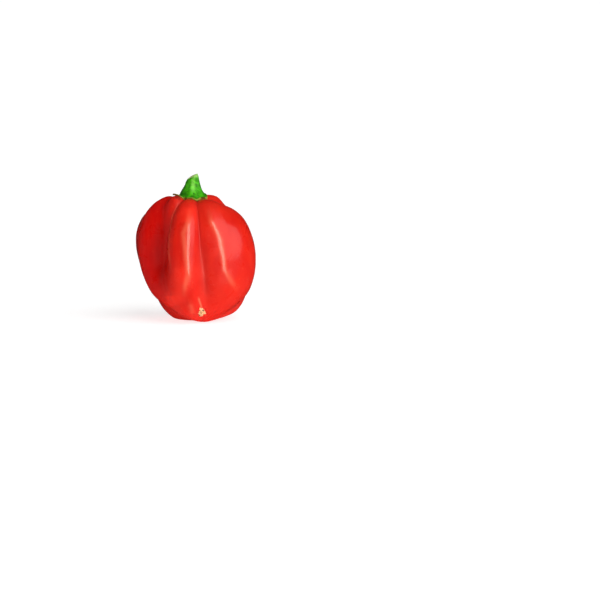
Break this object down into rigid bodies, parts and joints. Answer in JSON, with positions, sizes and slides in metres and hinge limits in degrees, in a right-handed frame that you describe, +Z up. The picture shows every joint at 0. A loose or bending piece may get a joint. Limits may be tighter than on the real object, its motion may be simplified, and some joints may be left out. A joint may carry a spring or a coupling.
{
  "type": "chilli pepper",
  "caption": "Lobed red chilli pepper of the habanero kind, with a green calyx and an obliquely cut stem, standing on the flat spot under its pod.",
  "frame": {"origin": "under the pod's middle, on the flat spot that the pod rests on", "axes": "+Z up along the stem, -Y towards the side with the blossom scar, +X to the right seen from there"},
  "size_m": [0.0421, 0.0404, 0.0514],
  "materials": {
    "pepper_skin": "glossy, waxy red skin, darker in the creases",
    "stem_green": "satin green, paler at the cut and olive at the rim"
  },
  "bodies": {
    "root": {"pod": "pepper_skin", "stem_and_calyx": "stem_green"}
  },
  "joints": []
}
